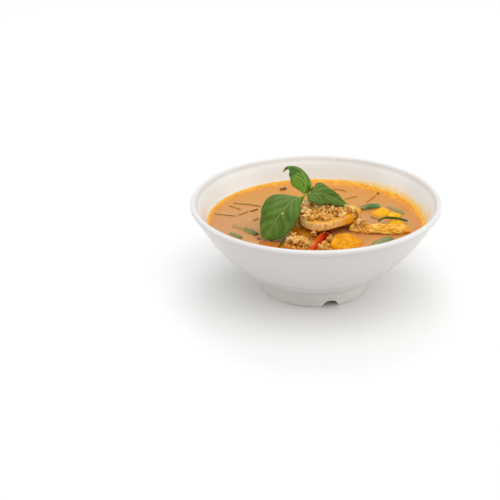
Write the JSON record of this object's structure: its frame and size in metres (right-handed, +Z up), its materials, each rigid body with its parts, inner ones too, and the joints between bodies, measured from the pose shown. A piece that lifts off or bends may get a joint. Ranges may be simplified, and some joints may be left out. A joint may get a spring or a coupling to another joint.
{
  "type": "bowl of panang curry",
  "caption": "Footed noodle bowl of thick orange coconut curry, topped with crushed peanuts on a slice of vegetable and a sprig of basil.",
  "frame": {"origin": "centre of the foot ring, on the surface that the bowl stands on", "axes": "+Z up along the bowl's axis, -Y towards the diner's side, where the pumpkin and the pepper strip lie, +X towards the chicken strip"},
  "size_m": [0.19, 0.19, 0.09],
  "materials": {
    "bowl_white": "smooth gloss, warm white",
    "curry_sauce": "wet, with an orange oil ring and fine specks",
    "pale_flesh": "wet cut vegetable with golden stains",
    "brown_flesh": "glossy stewed vegetable",
    "amber_flesh": "glossy, partly sunk in the curry",
    "pepper_flesh": "wet red pepper, orange on its cut side",
    "pumpkin_flesh": "wet, soft, bright yellow orange",
    "chicken_meat": "fibrous, coated with curry",
    "bean_green": "wet green skin with curry on it",
    "leaf_green": "soft sheen, veined",
    "young_leaf": "soft sheen, paler green",
    "peanut_crumb": "dry, broken, oily on some faces",
    "shred_green": "glossy lime leaf",
    "shred_sunk": "lime leaf under a film of curry",
    "chilli_red": "thin shred of red chilli",
    "dark_herb": "dark wet herb"
  },
  "bodies": {
    "root": {"bowl": "bowl_white", "curry": "curry_sauce", "pale_slice": "pale_flesh", "brown_slice": "brown_flesh", "amber_slice": "amber_flesh", "pepper_strip": "pepper_flesh", "pumpkin_chunk": "pumpkin_flesh", "chicken_strip": "chicken_meat", "yellow_chunk_1": "pumpkin_flesh", "yellow_chunk_2": "pumpkin_flesh", "yellow_chunk_3": "pumpkin_flesh", "bean_back": "bean_green", "bean_right": "bean_green", "bean_front": "bean_green", "bean_left": "bean_green", "bean_edge": "bean_green", "leaf_front": "leaf_green", "leaf_right": "leaf_green", "leaf_top": "young_leaf", "sprig_stem": "young_leaf", "sprig_bud": "young_leaf", "peanut_heap": "peanut_crumb", "peanut_front_left": "peanut_crumb", "peanut_under": "peanut_crumb", "peanut_front_centre": "peanut_crumb", "peanut_front_right": "peanut_crumb", "peanut_side": "peanut_crumb", "shred_left_back": "shred_sunk", "shred_left_short": "shred_sunk", "shred_left_long": "shred_sunk", "shred_left_bend": "shred_sunk", "shred_left_bright": "shred_green", "shred_leaf_side": "shred_sunk", "shred_back": "shred_sunk", "shred_back_low": "shred_sunk", "shred_right": "shred_sunk", "shred_arched": "shred_green", "shred_front": "shred_green", "chilli_thread": "chilli_red", "herb_bit_front": "dark_herb", "herb_bit_back": "dark_herb", "herb_bit_far": "dark_herb"}
  },
  "joints": []
}
